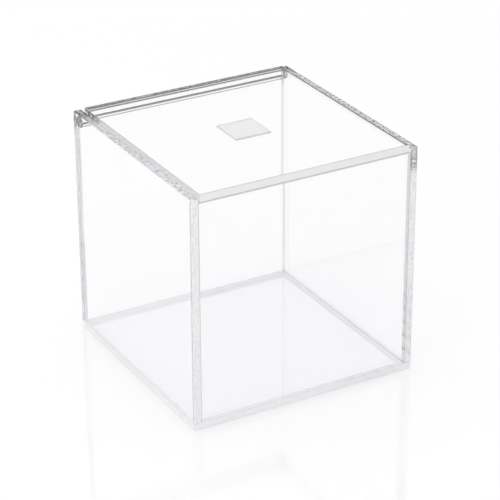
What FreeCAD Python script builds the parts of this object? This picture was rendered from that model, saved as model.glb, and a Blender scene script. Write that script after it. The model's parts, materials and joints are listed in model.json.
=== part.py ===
import FreeCAD, Part
import math
import os

# Clear acrylic box for coffee capsules with a hinged lid. Millimetres.
# Origin: centre of the footprint, on the table. Front faces -Y, lid on top, +X to the right.

# Box
box_width = 120.0           # over the two side panels
box_depth = 120.0           # front face to back face
closed_height = 120.0       # table to the top face of the closed lid
wall = 4.0                  # front, back and side sheets
floor_thickness = 4.0       # base sheet, full footprint, under the walls
edge_ease = 0.3             # rounding of a flame-polished free edge

# Lid
lid_thickness = 4.0
lid_proud = 1.8             # closed lid stands this far above the side panels
lid_side_gap = 0.5          # lid edge to side panel, each side
lid_past_axis = 1.2         # lid's back edge behind the middle of its hinge rod
lid_rest_gap = 0.2          # lid's underside over the front panel's top edge

# Name-plate blank under the middle of the lid
plaque_side = 19.0
plaque_thickness = 1.0
plaque_chamfer = 0.3

# Hinge rod, cemented under the lid's back edge and turning in blind bores
rod_diameter = 5.0
rod_flat_depth = 0.2        # flat milled along the rod where the lid is cemented
rod_flat_overrun = 0.2      # flat runs past the lid's edge, each end
rod_end_chamfer = 0.4
bore_clearance = 0.05       # radial, rod in bore
bore_depth = 2.5            # blind, from the panel's inner face
bore_back_land = 1.65       # acrylic left between bore and the panel's back edge
rod_end_gap = 0.2           # rod end to the bottom of its bore
rod_over_back_gap = 0.5     # rod's underside over the back panel's top edge

# Levels
side_top = closed_height - lid_proud
lid_under = closed_height - lid_thickness
front_top = lid_under - lid_rest_gap

# Places across and front to back
half_width = box_width / 2
half_depth = box_depth / 2
inner_half_width = half_width - wall
lid_half_width = inner_half_width - lid_side_gap

# Hinge axis
rod_radius = rod_diameter / 2
bore_radius = rod_radius + bore_clearance
axis_y = half_depth - bore_back_land - bore_radius
axis_z = lid_under - (rod_radius - rod_flat_depth)
back_top = axis_z - rod_radius - rod_over_back_gap

# The lid's back edge and middle, from the rod that carries it
lid_back = axis_y + lid_past_axis
lid_middle = (lid_back - half_depth) / 2

touch = 0.001               # planes nearer than this count as the same


def sheet(low, high):
    """Flat sheet from its lowest corner to its highest corner."""
    size = [h - l for l, h in zip(low, high)]
    return Part.makeBox(*size, FreeCAD.Vector(*low))


def eased(shape, is_free):
    """Round the edges that is_free picks out, given each edge's midpoint."""
    free = [e for e in shape.Edges if is_free(e.CenterOfMass)]
    return shape.makeFillet(edge_ease, free)


def base_plate():
    """Full-footprint floor. Its top rim is cemented under the walls and stays sharp."""
    plate = sheet((-half_width, -half_depth, 0), (half_width, half_depth, floor_thickness))
    return eased(plate, lambda p: p.z < floor_thickness - touch)


def hinge_bore(side):
    """Cutter for the blind bore in the inner face of one side panel, -1 left or 1 right."""
    mouth = FreeCAD.Vector(side * inner_half_width, axis_y, axis_z)
    return Part.makeCylinder(bore_radius, bore_depth, mouth, FreeCAD.Vector(side, 0, 0))


def side_panel(side):
    """Full-depth side sheet standing on the base, bored near its top back corner."""
    xs = sorted((side * inner_half_width, side * half_width))
    panel = sheet((xs[0], -half_depth, floor_thickness), (xs[1], half_depth, side_top))

    def is_free(p):
        on_top = p.z > side_top - touch
        upright = floor_thickness + touch < p.z < side_top - touch
        return on_top or (upright and abs(p.x) > half_width - touch)

    return eased(panel, is_free).cut(hinge_bore(side))


def cross_panel(y_near, y_far, top):
    """Sheet between the side panels, standing on the base. Only its top edge is free."""
    panel = sheet((-inner_half_width, y_near, floor_thickness), (inner_half_width, y_far, top))
    return eased(panel, lambda p: p.z > top - touch and abs(p.x) < touch)


def front_panel():
    """Front sheet. The closed lid lies over its top edge."""
    return cross_panel(-half_depth, -half_depth + wall, front_top)


def back_panel():
    """Back sheet. It stops short under the rod, and its top edge stops the opened lid."""
    return cross_panel(half_depth - wall, half_depth, back_top)


def lid_plate():
    """Lid sheet between the side panels, every edge polished."""
    low = (-lid_half_width, -half_depth, lid_under)
    high = (lid_half_width, lid_back, closed_height)
    return eased(sheet(low, high), lambda p: True)


def hinge_rod():
    """Round rod with turned ends and a long flat on top, under the lid."""
    length = 2 * (inner_half_width + bore_depth - rod_end_gap)
    along = FreeCAD.Vector(1, 0, 0)
    rod = Part.makeCylinder(rod_radius, length, FreeCAD.Vector(-length / 2, axis_y, axis_z), along)
    rod = rod.makeChamfer(rod_end_chamfer, [e for e in rod.Edges if e.Closed])
    flat_half = lid_half_width + rod_flat_overrun
    over = sheet((-flat_half, axis_y - rod_radius, lid_under),
                 (flat_half, axis_y + rod_radius, lid_under + rod_radius))
    return rod.cut(over)


def lid_plaque():
    """Plain square plate cemented under the middle of the lid, lower rim chamfered."""
    half = plaque_side / 2
    bottom = lid_under - plaque_thickness
    plate = sheet((-half, lid_middle - half, bottom), (half, lid_middle + half, lid_under))
    rim = [e for e in plate.Edges if e.CenterOfMass.z < bottom + touch]
    return plate.makeChamfer(plaque_chamfer, rim)


def turned(y, z, angle):
    """Place of a point of the lid, given from the hinge axis, with the lid opened by angle."""
    c, s = math.cos(angle), math.sin(angle)
    return y * c + z * s, z * c - y * s


def lid_stop_angle():
    """Degrees of opening at which the lid's back edge meets the back panel's top rear edge."""
    back = lid_back - axis_y
    stop_y, stop_z = half_depth - axis_y, back_top - axis_z
    for step in range(1800):
        angle = math.radians(step / 10)
        y1, z1 = turned(back, lid_under - axis_z, angle)
        y2, z2 = turned(back, closed_height - axis_z, angle)
        if y1 < stop_y < y2 and z1 + (z2 - z1) * (stop_y - y1) / (y2 - y1) < stop_z:
            return step / 10
    return 180.0


pieces = {
    "base_plate": base_plate(),
    "left_panel": side_panel(-1),
    "right_panel": side_panel(1),
    "front_panel": front_panel(),
    "back_panel": back_panel(),
    "lid_plate": lid_plate(),
    "hinge_rod": hinge_rod(),
    "lid_plaque": lid_plaque(),
}

os.makedirs("parts", exist_ok=True)
for name, shape in pieces.items():
    shape.exportStep(f"parts/{name}.step")

print(f"hinge axis y {axis_y:.2f} z {axis_z:.2f}, lid stops at {lid_stop_angle():.1f} degrees")
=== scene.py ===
import json
import math
from typing import NamedTuple

import bmesh
import bpy
import numpy as np
from mathutils import Matrix, Vector


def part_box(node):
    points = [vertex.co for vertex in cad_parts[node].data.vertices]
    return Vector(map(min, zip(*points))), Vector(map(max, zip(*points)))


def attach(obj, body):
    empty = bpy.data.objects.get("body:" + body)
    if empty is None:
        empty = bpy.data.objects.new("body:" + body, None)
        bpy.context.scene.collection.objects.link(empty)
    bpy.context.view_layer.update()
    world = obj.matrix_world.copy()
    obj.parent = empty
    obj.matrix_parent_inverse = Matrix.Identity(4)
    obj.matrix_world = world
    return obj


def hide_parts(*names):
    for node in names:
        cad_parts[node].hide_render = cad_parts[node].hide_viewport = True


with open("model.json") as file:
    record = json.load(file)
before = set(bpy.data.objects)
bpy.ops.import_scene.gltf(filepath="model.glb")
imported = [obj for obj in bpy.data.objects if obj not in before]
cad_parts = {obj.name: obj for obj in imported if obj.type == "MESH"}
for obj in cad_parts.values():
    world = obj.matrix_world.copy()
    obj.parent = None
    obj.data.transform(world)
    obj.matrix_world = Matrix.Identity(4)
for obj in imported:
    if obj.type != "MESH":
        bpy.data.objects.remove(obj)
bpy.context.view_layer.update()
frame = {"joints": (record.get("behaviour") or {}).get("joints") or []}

# Clear acrylic box with a hinged lid, empty and closed. Metres, in the frame of the CAD model:
# front faces -Y, lid on top, +X to the right, the table at Z = 0.

MM = 0.001
TURN = 2 * math.pi

# Edges of a sheet
EASED = 0.3 * MM              # rounding of a flame-polished free edge
ARRIS = 0.03 * MM             # what is left of a sharp edge where sheets are cemented
SEAM_LAP = 0.01 * MM          # cemented faces run this far into each other, so that light passes
RIPPLE_DEEP = 0.035 * MM      # how far the polishing flame lets an edge sink, at most
EASED_MILK = 0.8              # how milky the rounding of a milky edge is
LINE_WIDE = 0.35 * MM         # how far from a face its painted shade line fades
WORKED_SHADE_WIDE = 1.1 * MM        # and how far the painted shade line of a worked place does

# Grid of a sheet's edge
ARC_STEPS = 5                 # round a corner and round an eased edge
RUN_STEPS = 200               # along each side
# Rows between the two roundings, as shares of the way: one close to each, and the rest even.
BAND = np.concatenate([[0.015], np.linspace(0.08, 0.92, 9), [0.985]])

# Hinge
BORE_CLEARANCE = 0.05 * MM
BORE_DEEP = 2.5 * MM
# Rings round a bore's mouth and down it: share of its radius and of its depth, how worked, and how
# dark their painted shade is.
BORE_RINGS = np.array([
    (1.22, 0, 0, 0), (1.14, 0, 0, 0.9), (1, 0, 0, 1), (1, 0.04, 1, 1),
    (1, 0.22, 1, 0.8), (1, 0.32, 1, 0), (1, 0.96, 1, 0), (1, 1, 0.6, 0),
])
FLAT_OVERRUN = 0.2 * MM       # the rod's flat runs past the lid, each end
ROD_CHAMFER = 0.4 * MM
ROD_STEPS = 96                # round the rod
ROD_ROWS = 60                 # along its flat
# Rows at each end of the rod, in chamfers from its tip: the middle of the end, its rim, the chamfer's
# other rim, and the round behind it.
ROD_END_ROWS = (0, 0, 1, 1.4)
# Tool marks at the rod's ends, which carry painted shade too.
ROD_END_WORKED_AND_SHADED = 0.55
ROD_END_SHADE = (0, 0.35, 0.8)  # how dark the painted shade on the first three of those rows is
# Painted shade lines along the rod: degrees round it from the back, half width in degrees, and how
# dark. The first two lie along the rims of the flat, where it is cemented, the last on its underside.
ROD_SHADE_LINES = ((119, 9, 1.0), (63, 6, 0.7), (240, 8, 0.4))

# Acrylic
REFRACTION = 1.49
CLEAR_COLOUR = (0.99, 0.99, 0.995, 1)
# Colour that the painted shade on cuts, lines and worked places goes to.
SHADE_COLOUR = (0.04, 0.04, 0.043, 1)
THROUGH_COLOUR = (0.963, 0.960, 0.970, 1)     # left of a lamp's light by one face of a sheet
DEPTH_COLOUR = (0.86, 0.87, 0.89, 1)
DEPTH_DENSITY = 0.3 / 0.13                    # so that green light fades by 0.3 in each metre
SHADE_GAIN = 1.5                               # the colour goes from clear to the painted shade this much faster

# Patterns on a cut edge: how often each changes in a metre, along the edge and across it, or all ways
SAW_LINE_SCALE = (900, 120)
PATCH_SCALE = (420, 1000)
SWIRL_SCALE = 700.0
SWIRL_TWIST = 1.5
GRAIN_SCALE = 1500.0
# What a pattern gives: the span of it that counts, and what its two ends become
ROUGH_PATCHES = ((0.35, 0.7), (0.7, 1.2))     # share of the cut's roughness
STREAKS = ((0.46, 0.58), (0.0, 1.8))          # how dark the painted shade is, from the patches
SPECKS = ((0.56, 0.66), (0.0, 2.2))           # how dark the painted shade is, from the grain
CURLS = ((0.46, 0.54), (0.0, 1.0))            # how dark the painted shade is, from the swirls
CUT_BUMP = 0.15
BUMP_HIGH = 0.2 * MM
WORKED_BUMP = 4.0                             # swirls against the rest of the relief

# Floor: white and giving its own light towards its rim, where nothing shades it, and glossy near the
# box. Both change over FLOOR_FADE, in metres from the middle.
FLOOR_RADIUS = 0.6
FLOOR_SIDES = 128
FLOOR_DROP = 0.05 * MM
FLOOR_COLOUR = (0.96, 0.96, 0.96, 1)
FLOOR_FADE = (0.25, 0.55)
FLOOR_LIGHT = (0.45, 1.0)                     # share of the colour that is light of its own
FLOOR_GLOSS = ((0.04, 0.12), (0.06, 0.28))    # from the Fresnel share to the glossy share
FLOOR_GLOSS_ROUGH = 0.07
FLOOR_MATT_ROUGH = 0.5

# Surround: brightness by height, from level with the box, 0, to straight above it, 1.
SURROUND = ((0.0, 1.0), (0.03, 0.65), (0.20, 0.65), (0.30, 1.0), (0.72, 1.0), (0.82, 0.6))
# A dark card low behind the box, which the rod mirrors as its dark line.
CARD_TOWARDS = (math.sin(0.5), math.cos(0.5), 0)
CARD_SIDE = (0.955, 0.975)                    # cosine from its middle, over which it darkens
CARD_TOP = (0.22, 0.16)                       # height, over which it darkens
CARD_COLOUR = (0.01, 0.01, 0.01, 1)

# Camera, from the box's corners in the photograph
CAMERA_PLACE = (-0.45372, -0.80544, 0.50784)
CAMERA_ANGLES = (-29.61, 26.16, 0.23)         # degrees: round from the front, up, and roll
FOCAL_PIXELS = 2110                           # its lens, in pixels of a picture this wide:
PICTURE_PIXELS = 500
FILM_WIDE_MM = 36

LIGHT_STEPS = 36                              # a ray meets many faces of clear sheet on its way
SHADOW_STEPS = 24

SAME_PLACE = 1e-7                             # points nearer to each other than this are one
WHITE = (1, 1, 1, 1)
SHARP = [ARRIS] * 4
ALL_EASED = [EASED] * 4


class CutLook(NamedTuple):
    """How a sheet's cut looks: from 0 to 1 or past it, one value for all sides, or +a, +b, -a, -b."""

    grey: object = 0              # how dark the painted shade on the cut is
    milk: object = 0              # how milky the cut is
    line_low: object = 0          # the painted shade line along the low face
    line_high: object = 0         # and along the high face
    line_wide: object = LINE_WIDE
    within: object = 0            # share of the painted shade and its lines that shows only through the sheet
    worked_and_shaded: tuple = ()            # tool marks with painted shade, as (place, reach, how strong)


class Bore(NamedTuple):
    """Blind bore into the low or the high face of a sheet, by its axis on the face."""

    a: float
    b: float
    radius: float
    depth: float
    at_high: bool


def waves(along, across, seed, count=9, longest=14 * MM, shortest=1.6 * MM):
    """Smooth uneven surface from 0 to 1.

    The sum of cosines whose wavelengths go from the longest to the shortest in equal ratios, each with
    its own phase and a slight lean across the edge, scaled to between 0 and 1.
    """
    draw = np.random.default_rng(seed)
    lengths = np.geomspace(longest, shortest, count)
    total = np.zeros(np.broadcast(along, across).shape)
    for length in lengths:
        phase, lean = draw.uniform(0, TURN), draw.uniform(-0.8, 0.8)
        total = total + np.cos(TURN * (along + lean * across) / length + phase)
    return 0.5 + 0.5 * np.clip(total / math.sqrt(2 * count), -1, 1)


def mesh_piece(name, points, faces, uvs, marks, smooth):
    """Mesh object from whole arrays, with coinciding points merged and every face flagged."""
    mesh = bpy.data.meshes.new(name)
    mesh.from_pydata(points.tolist(), [], faces)
    layer = mesh.uv_layers.new(name="edge_run")
    layer.data.foreach_set("uv", np.asarray(uvs, np.float32).ravel())
    for mark, values in marks.items():
        layer = mesh.attributes.new(mark, "FLOAT", "POINT")
        layer.data.foreach_set("value", values.astype(np.float32).ravel())
    mesh.polygons.foreach_set("use_smooth", smooth)
    made = bmesh.new()
    made.from_mesh(mesh)
    bmesh.ops.remove_doubles(made, verts=made.verts, dist=SAME_PLACE)
    made.to_mesh(mesh)
    made.free()
    piece = bpy.data.objects.new(name, mesh)
    bpy.context.scene.collection.objects.link(piece)
    return piece


def grid_faces(rows, columns):
    """Four point numbers for each face of a grid whose last column meets its first."""
    i = np.arange(columns)
    j = np.arange(rows - 1)[:, None]
    nxt = (i + 1) % columns
    here, above = j * columns, (j + 1) * columns
    return np.stack([here + i, here + nxt, above + nxt, above + i], -1).reshape(-1, 4)


def grid_uvs(u, v):
    """UVs of each grid face's corners, from u and v with one column more than the grid has."""
    here, above = slice(None, -1), slice(1, None)
    corners = ((here, here), (here, above), (above, above), (above, here))
    return np.stack([np.stack([u[c], v[c]], -1) for c in corners], 2).reshape(-1, 2)


def rim(half_a, half_b, corner, inset):
    """Closed outline of a sheet, one row per inset.

    Four quarter ellipses about the points that lie `corner`, or the inset if that is more, in from two
    sides, joined by straight runs. inset has a row per outline and a column per side: +a, +b, -a, -b.
    Returns a and b, and for each column the side it starts from and how far it is on to the next side.
    """
    turn = np.linspace(0, 1, ARC_STEPS + 1)
    run = np.arange(1, RUN_STEPS) / RUN_STEPS
    rows_a, rows_b = [], []
    for k in range(4):
        nxt = (k + 1) % 4
        side_a, side_b = (k, nxt) if k % 2 == 0 else (nxt, k)
        sign_a, sign_b = (1, -1, -1, 1)[k], (1, 1, -1, -1)[k]
        in_a, in_b = inset[:, side_a, None], inset[:, side_b, None]
        angle = (k + turn) * TURN / 4
        a = sign_a * (half_a - np.maximum(corner[k], in_a))
        b = sign_b * (half_b - np.maximum(corner[k], in_b))
        rows_a.append(a + np.maximum(corner[k] - in_a, 0) * np.cos(angle))
        rows_b.append(b + np.maximum(corner[k] - in_b, 0) * np.sin(angle))
    out_a, out_b, out_side, out_share = [], [], [], []
    for k in range(4):
        nxt = (k + 1) % 4
        end_a, end_b = rows_a[k][:, -1:], rows_b[k][:, -1:]
        go_a, go_b = rows_a[nxt][:, :1], rows_b[nxt][:, :1]
        out_a += [rows_a[k], end_a + (go_a - end_a) * run]
        out_b += [rows_b[k], end_b + (go_b - end_b) * run]
        out_side += [np.full(turn.size, k), np.full(run.size, nxt)]
        out_share += [turn, np.zeros(run.size)]
    return np.hstack(out_a), np.hstack(out_b), np.concatenate(out_side), np.concatenate(out_share)


def cut_marks(look, points, across, thick, on_edge, rounding, loose, columns_of):
    """What the material reads on a sheet, from how its cut looks.

    The painted shade and the milk are each side's own value where the surface is cut, and the rounding
    of a milky side is milkier. A painted shade line fades as the bell curve of the distance from its
    face, and a worked place, with its tool marks and painted shade, with the fourth power of the distance
    over its reach. columns_of spreads a value per side over an outline's columns.
    """
    rows = on_edge.size
    cut = np.repeat(on_edge, across.shape[1])
    grey, milky, rough_cut = (
        (on_edge[:, None] * value[None, :]).ravel()
        for value in (columns_of(look.grey), columns_of(look.milk), loose)
    )
    milky = np.maximum(milky, EASED_MILK * rounding * (milky > 0))
    tooled_and_shaded = np.zeros(cut.shape)
    for place, reach, strong in look.worked_and_shaded:
        far = np.linalg.norm(points - np.array(place), axis=1) / reach
        tooled_and_shaded = np.maximum(tooled_and_shaded, strong * cut * np.exp(-far ** 4))
    from_low, from_high = across.ravel(), (thick - across).ravel()
    line_low, line_high, wide, within = (
        np.tile(columns_of(value), rows)
        for value in (look.line_low, look.line_high, look.line_wide, look.within)
    )
    shade_line = np.sqrt(cut) * np.maximum.reduce([
        line_low * np.exp(-(from_low / wide) ** 2),
        line_high * np.exp(-(from_high / wide) ** 2),
        tooled_and_shaded * np.exp(-(np.minimum(from_low, from_high) / WORKED_SHADE_WIDE) ** 2),
    ])
    return {"cut_edge": rough_cut, "milky": milky, "edge_shade": grey, "outline": shade_line, "worked_and_shaded": tooled_and_shaded,
            "within": within}


def cut_sheet(name, low, high, normal, corner, ease_low, ease_high, free, look, seed, bore=None):
    """Sheet of acrylic as one closed surface.

    A function of the place along the outline and the place across the thickness: the outline is a
    rounded rectangle, and across the thickness it is drawn in by a quarter circle at each face, of
    radius ease_low or ease_high on each side, and by the ripple of the polishing flame between them
    on the free sides, while cement has cleared the others. Sides are in the order +a, +b, -a, -b,
    corner k lies between side k and the next, and normal is the axis across the thickness, with a and
    b the two axes after it. A bore is sunk into one face: each outline point is joined to the point of
    the bore's mouth towards it, and from there rings of the same radius go down to the bore's floor.
    """
    axis_a, axis_b = (normal + 1) % 3, (normal + 2) % 3
    middle, half = (low + high) / 2, (high - low) / 2
    thick = high[normal] - low[normal]

    # Rows across the thickness: round the low face's edge, over the cut, round the high face's edge.
    quarter = np.linspace(0, TURN / 4, ARC_STEPS + 1)
    draw_in = 1 - np.sin(quarter)
    rise = 1 - np.cos(quarter)
    bend = np.sin(2 * quarter)
    on_edge = np.concatenate([1 - draw_in, np.ones(BAND.size), 1 - draw_in[::-1]])
    inset = np.vstack([
        np.outer(draw_in, ease_low),
        np.zeros((BAND.size, 4)),
        np.outer(draw_in[::-1], ease_high),
    ])

    # Columns along the outline.
    a0, b0, side, share = rim(half[axis_a], half[axis_b], corner, inset[ARC_STEPS:ARC_STEPS + 1])
    step = np.hypot(np.diff(a0, append=a0[:, :1]), np.diff(b0, append=b0[:, :1]))[0]
    along = np.concatenate([[0], np.cumsum(step)])

    def columns_of(values):
        """A value per side spread over the columns, blended round the corners."""
        values = np.broadcast_to(np.asarray(values, float), 4)
        return values[side] * (1 - share) + values[(side + 1) % 4] * share

    round_low, round_high = columns_of(ease_low), columns_of(ease_high)
    across = np.vstack([
        np.outer(rise, round_low),
        round_low + np.outer(BAND, thick - round_low - round_high),
        thick - np.outer(rise[::-1], round_high),
    ])
    loose = columns_of(free)
    sunk = waves(along[None, :-1], across, seed) * RIPPLE_DEEP * loose * on_edge[:, None]
    faces_way = (side + share) * TURN / 4
    a, b, _, _ = rim(half[axis_a], half[axis_b], corner, inset)
    rows, columns = a.shape
    points = np.zeros((rows, columns, 3))
    points[..., axis_a] = middle[axis_a] + a - sunk * np.cos(faces_way)
    points[..., axis_b] = middle[axis_b] + b - sunk * np.sin(faces_way)
    points[..., normal] = low[normal] + across
    points = points.reshape(-1, 3)
    rounding = np.repeat(np.concatenate([bend, np.zeros(BAND.size), bend]), columns)
    marks = cut_marks(look, points, across, thick, on_edge, rounding, loose, columns_of)

    faces = grid_faces(rows, columns).tolist()
    uvs = [grid_uvs(np.broadcast_to(along, (rows, columns + 1)), np.hstack([across, across[:, :1]]))]
    smooth = [True] * len(faces)

    def close_with(loop):
        """Flat face over a closed loop of points."""
        faces.append(loop.tolist())
        uvs.append(np.zeros((columns, 2)))
        smooth.append(False)

    i = np.arange(columns)
    low_loop, high_loop = i, (rows - 1) * columns + i
    if bore is None or bore.at_high:
        close_with(low_loop[::-1])
    if bore is None or not bore.at_high:
        close_with(high_loop)
    if bore is not None:
        loop = high_loop if bore.at_high else low_loop
        out_a, out_b = points[loop, axis_a] - bore.a, points[loop, axis_b] - bore.b
        reach = np.hypot(out_a, out_b)
        size, deep, worked_and_shaded, dark = BORE_RINGS.T[..., None]
        face_at, into = (high[normal], -bore.depth) if bore.at_high else (low[normal], bore.depth)
        rings = np.zeros((len(BORE_RINGS), columns, 3))
        rings[..., axis_a] = bore.a + bore.radius * size * out_a / reach
        rings[..., axis_b] = bore.b + bore.radius * size * out_b / reach
        rings[..., normal] = face_at + into * deep
        loops = [loop] + [len(points) + k * columns + i for k in range(len(rings))]
        points = np.vstack([points, rings.reshape(-1, 3)])
        # The rings down the bore are rough and worked, and carry painted shade.
        bored = {"cut_edge": worked_and_shaded, "worked_and_shaded": worked_and_shaded, "outline": dark}
        for mark, values in marks.items():
            down = np.repeat(bored.get(mark, np.zeros(len(rings))), columns)
            marks[mark] = np.concatenate([values, down])
        for k, (near, far) in enumerate(zip(loops[:-1], loops[1:])):
            in_face = k < 3
            ring = np.stack([near, np.roll(near, -1), np.roll(far, -1), far], -1)
            ring = ring if bore.at_high else ring[:, ::-1]
            faces += ring.tolist()
            uvs.append(np.zeros((columns * 4, 2)))
            smooth += [not in_face] * columns
        close_with(loops[-1] if bore.at_high else loops[-1][::-1])
    return mesh_piece(name, points, faces, np.vstack(uvs), marks, smooth)


def hinge_bar(name, centre, half_length, radius, flat_height, flat_half):
    """Round rod along X with chamfered ends and a long flat on top.

    A function of the place along the rod and the angle round it: the radius, drawn in at the ends by
    the chamfer, or the distance to the flat if that is nearer, which it is where the height over the
    middle would pass flat_height, between -flat_half and flat_half. Its painted shade lines are bell
    curves of the angle from each line's own, the two by the flat's cemented rims only along the flat.
    """
    ends = half_length - ROD_CHAMFER * np.array(ROD_END_ROWS)
    flat = np.linspace(-flat_half, flat_half, ROD_ROWS)
    x = np.concatenate([-ends, [-flat_half], flat, [flat_half], ends[::-1]])

    # Five rows at each end are round. The last of them lies where the flat begins, as a step.
    size = np.full(x.size, radius)
    size[[1, -2]] = radius - ROD_CHAMFER
    size[[0, -1]] = 0
    height = np.full(x.size, np.inf)
    height[5:-5] = flat_height
    angle = np.arange(ROD_STEPS) * TURN / ROD_STEPS
    up = np.maximum(np.sin(angle), SAME_PLACE)[None, :]
    reach = np.minimum(size[:, None], height[:, None] / up)
    rows, columns = reach.shape
    points = np.zeros((rows, columns, 3))
    points[..., 0] = centre[0] + x[:, None]
    points[..., 1] = centre[1] + reach * np.cos(angle)
    points[..., 2] = centre[2] + reach * np.sin(angle)
    u = np.broadcast_to((angle[1] * radius * np.arange(columns + 1))[None, :], (rows, columns + 1))
    v = np.broadcast_to(x[:, None], (rows, columns + 1))

    # The ends, the chamfers and the steps are flat.
    smooth = np.ones((rows - 1, columns), bool)
    smooth[[0, 1, 4, -5, -2, -1]] = False

    cut = np.zeros((rows, columns))
    cut[[0, 1, -2, -1]] = 1
    bells = [dark * np.exp(-((np.degrees(angle) - at) / wide) ** 2) for at, wide, dark in ROD_SHADE_LINES]
    lines = np.maximum(np.maximum(bells[0], bells[1]) * (np.abs(x) < flat_half)[:, None], bells[2])
    for k, dark in enumerate(ROD_END_SHADE):
        lines[[k, -1 - k]] = dark
    plain = np.zeros(cut.shape)
    marks = {"cut_edge": cut, "milky": plain, "edge_shade": plain, "outline": lines,
             "worked_and_shaded": ROD_END_WORKED_AND_SHADED * cut, "within": plain}
    faces = grid_faces(rows, columns).tolist()
    return mesh_piece(name, points.reshape(-1, 3), faces, grid_uvs(u, v), marks, smooth.ravel().tolist())


def node_tree(owner):
    """Four functions that fill the cleared node tree of a material or a world.

    add puts in a node, links the inputs whose value is a socket and sets the rest. calc gives the
    result of a Math node, remap that of a Map Range node, and mix_colours goes from one colour to
    another.
    """
    owner.use_nodes = True
    tree = owner.node_tree
    tree.nodes.clear()

    def add(kind, values=None, **settings):
        node = tree.nodes.new("ShaderNode" + kind)
        for key, value in settings.items():
            setattr(node, key, value)
        for key, value in (values or {}).items():
            if isinstance(value, bpy.types.NodeSocket):
                tree.links.new(value, node.inputs[key])
            else:
                node.inputs[key].default_value = value
        return node

    def calc(operation, *values, clamp=False):
        return add("Math", dict(enumerate(values)), operation=operation, use_clamp=clamp).outputs["Value"]

    def remap(value, span, to):
        ends = {"From Min": span[0], "From Max": span[1], "To Min": to[0], "To Max": to[1]}
        return add("MapRange", {"Value": value, **ends}).outputs["Result"]

    def mix_colours(share, one, other):
        return add("Mix", {"Factor": share, 6: one, 7: other}, data_type="RGBA").outputs[2]

    return add, calc, remap, mix_colours


def clear_acrylic(name, face_rough=0.02, edge_rough=0.22):
    """Cast acrylic: clear, polished faces, and cut edges that stay a little milky.

    The cut edges carry fine saw lines across the thickness and uneven patches from the flame, worked
    places carry swirls, and all of them carry painted shade in streaks, specks and curls by the mesh's
    own marks, with painted shade lines, part of it only where a face is seen from behind.
    Light from lamps passes straight through, and long ways through the sheet turn it grey.
    """
    material = bpy.data.materials.new(name)
    add, calc, remap, mix_colours = node_tree(material)
    run = add("UVMap", uv_map="edge_run").outputs["UV"]
    place = add("TexCoord").outputs["Object"]
    cut_edge, milky, edge_shade, outline, worked_and_shaded, within = (
        add("Attribute", attribute_name=mark).outputs["Fac"]
        for mark in ("cut_edge", "milky", "edge_shade", "outline", "worked_and_shaded", "within")
    )

    def edge_noise(along, across):
        """Uneven pattern on the edge's own run, by how often it changes in a metre of it."""
        at = add("Mapping", {"Vector": run, "Scale": (along, across, 1)}).outputs["Vector"]
        return add("TexNoise", {"Vector": at, "Scale": 1.0, "Detail": 2.0, "Roughness": 0.5}).outputs["Fac"]

    saw_lines = edge_noise(*SAW_LINE_SCALE)
    patches = edge_noise(*PATCH_SCALE)
    swirl = add("TexNoise", {"Vector": place, "Scale": SWIRL_SCALE, "Detail": 2.0, "Roughness": 0.5,
                             "Distortion": SWIRL_TWIST}).outputs["Fac"]
    grain = add("TexNoise", {"Vector": place, "Scale": GRAIN_SCALE, "Detail": 1.0}).outputs["Fac"]

    # Roughness and relief of the cut.
    span, shares = ROUGH_PATCHES
    cut_rough = remap(patches, span, [edge_rough * share for share in shares])
    rough = add("Mix", {"Factor": cut_edge, "A": face_rough, "B": cut_rough}).outputs["Result"]
    swirls = calc("MULTIPLY", worked_and_shaded, swirl)
    relief = calc("MULTIPLY_ADD", swirls, WORKED_BUMP, calc("ADD", saw_lines, patches))
    bump_by = calc("MULTIPLY", cut_edge, CUT_BUMP)
    bump = add("Bump", {"Height": relief, "Strength": bump_by, "Distance": BUMP_HIGH}).outputs["Normal"]

    # Painted shade: streaks and specks on the cut, curls in worked places, and the dark lines. The share
    # `within` of it is left out where the surface is seen from outside.
    streaks = remap(patches, *STREAKS)
    specks = remap(grain, *SPECKS)
    curls = remap(swirl, *CURLS)
    streaked_edge_shade = calc("MULTIPLY", edge_shade, calc("ADD", streaks, specks), clamp=True)
    grey = calc("MAXIMUM", calc("MAXIMUM", streaked_edge_shade, calc("MULTIPLY", worked_and_shaded, curls)), outline)
    outside = calc("SUBTRACT", 1.0, add("NewGeometry").outputs["Backfacing"])
    dark = calc("MULTIPLY", grey, calc("SUBTRACT", 1.0, calc("MULTIPLY", within, outside)))
    clear = calc("SUBTRACT", 1.0, calc("MAXIMUM", milky, dark))
    tint = mix_colours(calc("MULTIPLY", dark, SHADE_GAIN, clamp=True), CLEAR_COLOUR, SHADE_COLOUR)

    body = add("BsdfPrincipled", {"IOR": REFRACTION, "Base Color": tint, "Transmission Weight": clear,
                                  "Roughness": rough, "Normal": bump}).outputs["BSDF"]
    through = add("BsdfTransparent", {"Color": THROUGH_COLOUR}).outputs["BSDF"]
    ray = add("LightPath").outputs
    lamp_or_bounce = calc("MAXIMUM", ray["Is Shadow Ray"], ray["Is Diffuse Ray"])
    surface = add("MixShader", {"Fac": lamp_or_bounce, 1: body, 2: through}).outputs["Shader"]
    depth = add("VolumeAbsorption", {"Color": DEPTH_COLOUR, "Density": DEPTH_DENSITY}).outputs["Volume"]
    add("OutputMaterial", {"Surface": surface, "Volume": depth})
    return material


def finish_piece(piece, material, body, slot_name, *nodes):
    """Material, body and the CAD nodes that a piece stands for, which it hides; slot_name is not used."""
    piece.data.materials.append(material)
    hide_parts(*nodes)
    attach(piece, body)


def corners_of(node):
    """Lowest and highest corner of a CAD node, as arrays."""
    low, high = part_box(node)
    return np.array(low), np.array(high)


def mm(*values):
    """Values given in millimetres, as metres."""
    return np.array(values) * MM


acrylic = clear_acrylic("clear_acrylic")
rod_acrylic = clear_acrylic("clear_rod", edge_rough=0.35)
satin = clear_acrylic("satin_tab", face_rough=0.25)

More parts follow.
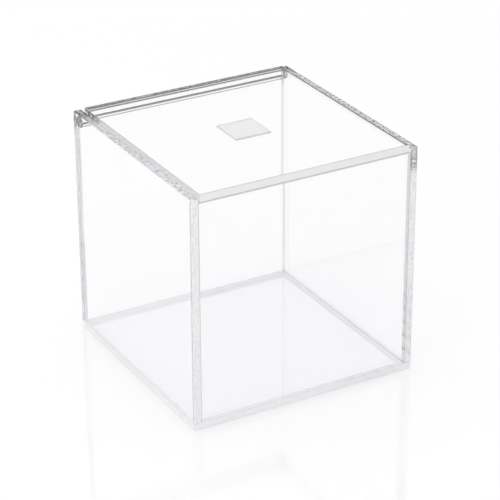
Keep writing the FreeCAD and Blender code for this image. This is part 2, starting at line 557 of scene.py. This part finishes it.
hinge = next(j for j in frame["joints"] if j["name"] == "lid_hinge")
hinge_y, hinge_z = hinge["pos_m"][1], hinge["pos_m"][2]
rod_low, rod_high = corners_of("hinge_rod")
rod_radius = hinge_z - rod_low[2]

# Base: sides +x, +y, -x, -y. Its top rim is cemented under the walls. Its cut is milky, with faint painted
# shade.
low, high = corners_of("base_plate")
base = cut_sheet("base_sheet", low, high, 2, ALL_EASED, ALL_EASED, SHARP, free=[1, 1, 1, 1],
                 look=CutLook(grey=0.015, milk=0.65, line_high=0.15), seed=3)
finish_piece(base, acrylic, "box", "clear_acrylic", "base_plate")

# Side sheets: sides +y, +z, -y, -z. They lap into the base. Their cuts carry painted shade. Both are
# worked round the bore, with tool marks and painted shade, the left one also on top before the hinge,
# and the right one under its top front corner.
for side, node in ((-1, "left_panel"), (1, "right_panel")):
    low, high = corners_of(node)
    middle_x = (low[0] + high[0]) / 2
    at_bore = ((middle_x, hinge_y, hinge_z), 7.5 * MM, 1.0)
    if side < 0:
        before_hinge = ((middle_x, hinge_y - 7.8 * MM, high[2] - 0.2 * MM), 8 * MM, 0.6)
        look = CutLook(
            grey=(0.08, 0.15, 0.04, 0), milk=(0.35, 0.45, 0.6, 0.5), line_high=(0.45, 0.3, 0.3, 0),
            worked_and_shaded=(at_bore, before_hinge),
        )
    else:
        under_corner = ((middle_x, low[1], high[2] - 6.2 * MM), 7 * MM, 0.5)
        look = CutLook(
            grey=(0, 0.25, 0.06, 0), milk=(0.5, 0.4, 0.6, 0.5), line_low=(0, 0.9, 0.4, 0.9),
            line_high=(0.1, 0.6, 0.3, 0), line_wide=mm(0.35, 0.35, 0.35, 0.7),
            worked_and_shaded=(at_bore, under_corner),
        )
    low[2] -= SEAM_LAP
    outer = [EASED, EASED, EASED, ARRIS]
    inner = [ARRIS, EASED, ARRIS, ARRIS]
    eases = (outer, inner) if side < 0 else (inner, outer)
    bore = Bore(hinge_y, hinge_z, rod_radius + BORE_CLEARANCE, BORE_DEEP, at_high=side < 0)
    panel = cut_sheet(node.replace("panel", "sheet"), low, high, 0, [EASED, EASED, ARRIS, ARRIS], *eases,
                      free=[1, 1, 1, 0], look=look, seed=11 + side, bore=bore)
    finish_piece(panel, acrylic, "box", "clear_acrylic", node)

# Front and back sheets: sides +z, +x, -z, -x. Only the top edge is free. The back one's carries darker
# painted shade lines.
front_look = CutLook(grey=(0.05, 0, 0, 0), milk=(0.35, 0, 0.5, 0), line_low=0.2, line_high=0.2)
back_look = CutLook(grey=(0.05, 0, 0.08, 0), milk=(0.35, 0, 0.5, 0), line_low=(0.95, 0, 0, 0),
                    line_high=(1, 0, 0, 0), line_wide=0.8 * MM)
for node, look, seed in (("front_panel", front_look, 21), ("back_panel", back_look, 22)):
    low, high = corners_of(node)
    low -= (SEAM_LAP, 0, SEAM_LAP)
    high += (SEAM_LAP, 0, 0)
    ease = [EASED, ARRIS, ARRIS, ARRIS]
    panel = cut_sheet(node.replace("panel", "sheet"), low, high, 1, SHARP, ease, ease,
                      free=[1, 0, 0, 0], look=look, seed=seed)
    finish_piece(panel, acrylic, "box", "clear_acrylic", node)

# Lid: sides +x, +y, -x, -y, all free. The right and back edges carry dark painted shade, most of it
# showing only through the sheet.
low, high = corners_of("lid_plate")
lid_under = low[2]
lid_half = high[0]
over_rod = ((-lid_half, high[1] - 8 * MM, lid_under), 10 * MM, 0.6)
lid_look = CutLook(
    grey=(0.5, 1.1, 0.03, 0), milk=(0.2, 0.1, 0.7, 0.8), line_low=(2.0, 1.5, 0.3, 0.5),
    line_high=(0.6, 1.2, 0.2, 0.05), line_wide=mm(1.6, 1.2, 0.35, 0.35), within=(0.85, 0.85, 0, 0),
    worked_and_shaded=(over_rod,),
)
lid = cut_sheet("lid_sheet", low, high, 2, ALL_EASED, ALL_EASED, ALL_EASED, free=[1, 1, 1, 1],
                look=lid_look, seed=31)
finish_piece(lid, acrylic, "lid", "clear_acrylic", "lid_plate")

# Small square plate under the lid. Its cut carries painted shade, with shade lines along its faces.
low, high = corners_of("lid_plaque")
high[2] -= 1.5 * SEAM_LAP
tab_look = CutLook(grey=0.1, milk=0.4, line_low=0.6, line_high=0.3, line_wide=0.25 * MM)
tab = cut_sheet("lid_tab", low, high, 2, SHARP, ALL_EASED, SHARP, free=[1, 1, 1, 1], look=tab_look,
                seed=41)
finish_piece(tab, satin, "lid", "satin_acrylic", "lid_plaque")

# Hinge rod, lapped into the lid, with painted shade lines along it and at its ends.
rod = hinge_bar("hinge_bar", (0, hinge_y, hinge_z), rod_high[0], rod_radius,
                lid_under - hinge_z + SEAM_LAP, lid_half + FLAT_OVERRUN)
finish_piece(rod, rod_acrylic, "lid", "clear_rod", "hinge_rod")


def pale_floor():
    """Large plain floor: white, faintly glossy, with what little shade the box gives.

    A round face with its points evenly spaced on a circle.
    """
    angle = np.arange(FLOOR_SIDES) * TURN / FLOOR_SIDES
    ring = FLOOR_RADIUS * np.stack([np.cos(angle), np.sin(angle), np.zeros(FLOOR_SIDES)], -1)
    mesh = bpy.data.meshes.new("floor")
    mesh.from_pydata(ring.tolist(), [], [list(range(FLOOR_SIDES))])
    floor = bpy.data.objects.new("floor", mesh)
    floor.location.z = -FLOOR_DROP
    bpy.context.scene.collection.objects.link(floor)

    material = bpy.data.materials.new("pale_floor")
    add, calc, remap, _ = node_tree(material)
    matt = add("BsdfPrincipled", {"Base Color": FLOOR_COLOUR, "Roughness": FLOOR_MATT_ROUGH,
                                  "Specular IOR Level": 0.0}).outputs["BSDF"]
    light = add("Emission", {"Color": WHITE, "Strength": 1.0}).outputs["Emission"]
    gloss = add("BsdfGlossy", {"Color": WHITE, "Roughness": FLOOR_GLOSS_ROUGH}).outputs["BSDF"]
    ray = add("LightPath").outputs
    mirrored = calc("MAXIMUM", ray["Is Camera Ray"], ray["Is Glossy Ray"])
    seen = calc("MAXIMUM", mirrored, ray["Is Transmission Ray"])
    place = add("TexCoord").outputs["Object"]
    far = add("VectorMath", {0: place}, operation="LENGTH").outputs["Value"]
    own_light = calc("MULTIPLY", seen, remap(far, FLOOR_FADE, FLOOR_LIGHT))
    pale = add("MixShader", {"Fac": own_light, 1: matt, 2: light}).outputs["Shader"]
    mirrors = remap(add("Fresnel", {"IOR": 1.5}).outputs["Fac"], *FLOOR_GLOSS)
    shine = calc("MULTIPLY", mirrors, remap(far, FLOOR_FADE, (1.0, 0.0)))
    sheen = add("MixShader", {"Fac": shine, 1: pale, 2: gloss}).outputs["Shader"]
    add("OutputMaterial", {"Surface": sheen})
    mesh.materials.append(material)


def studio_surround():
    """World: bright above, darker towards the horizon, white where the camera looks past the floor."""
    world = bpy.data.worlds.new("studio")
    bpy.context.scene.world = world
    add, calc, remap, mix_colours = node_tree(world)
    where = add("TexCoord").outputs["Generated"]
    height = add("SeparateXYZ", {"Vector": where}).outputs["Z"]
    ramp = add("ValToRGB", {"Fac": height})
    while len(ramp.color_ramp.elements) < len(SURROUND):
        ramp.color_ramp.elements.new(0.5)
    for element, (position, bright) in zip(ramp.color_ramp.elements, SURROUND):
        element.position = position
        element.color = (bright, bright, bright, 1)
    toward = add("VectorMath", {0: where, 1: CARD_TOWARDS}, operation="DOT_PRODUCT").outputs["Value"]
    card = calc("MULTIPLY", remap(toward, CARD_SIDE, (0, 1)), remap(height, CARD_TOP, (0, 1)))
    room = mix_colours(card, ramp.outputs["Color"], CARD_COLOUR)
    shown = mix_colours(add("LightPath").outputs["Is Camera Ray"], room, WHITE)
    ground = add("Background", {"Color": shown}).outputs["Background"]
    add("OutputWorld", {"Surface": ground})


def soft_lamp(name, place, size, power, aim=(0, 0, 0.06)):
    """Square area lamp that faces the middle of the box and isn't mirrored in it."""
    data = bpy.data.lights.new(name, "AREA")
    data.energy = power
    data.size = size
    lamp = bpy.data.objects.new(name, data)
    lamp.visible_glossy = False
    lamp.location = place
    lamp.rotation_euler = (Vector(aim) - Vector(place)).to_track_quat("-Z", "Y").to_euler()
    bpy.context.scene.collection.objects.link(lamp)


def photo_camera():
    """Camera at the photograph's viewpoint: long lens, a slight roll.

    Its own back, right and up are worked out from the angle round, the angle up and the roll.
    """
    turn, rise, roll = (math.radians(v) for v in CAMERA_ANGLES)
    back = Vector((math.sin(turn) * math.cos(rise), -math.cos(turn) * math.cos(rise), math.sin(rise)))
    right = (-back).cross(Vector((0, 0, 1))).normalized()
    up = back.cross(right)
    side = right * math.cos(roll) - up * math.sin(roll)
    head = right * math.sin(roll) + up * math.cos(roll)
    data = bpy.data.cameras.new("camera")
    data.sensor_width = FILM_WIDE_MM
    data.lens = FOCAL_PIXELS / PICTURE_PIXELS * FILM_WIDE_MM
    data.clip_start = 0.01
    data.clip_end = 50
    camera = bpy.data.objects.new("camera", data)
    pose = Matrix((side, head, back)).transposed().to_4x4()
    pose.translation = Vector(CAMERA_PLACE)
    camera.matrix_world = pose
    bpy.context.scene.collection.objects.link(camera)
    bpy.context.scene.camera = camera


pale_floor()
studio_surround()
soft_lamp("overhead", place=(-0.3, 0.2, 1.6), size=1.2, power=6)
soft_lamp("left", place=(-1.5, -0.8, 0.9), size=0.8, power=6)
photo_camera()

scene = bpy.context.scene
scene.view_settings.view_transform = "Standard"
scene.cycles.max_bounces = LIGHT_STEPS
scene.cycles.transmission_bounces = LIGHT_STEPS
scene.cycles.glossy_bounces = LIGHT_STEPS
scene.cycles.transparent_max_bounces = SHADOW_STEPS
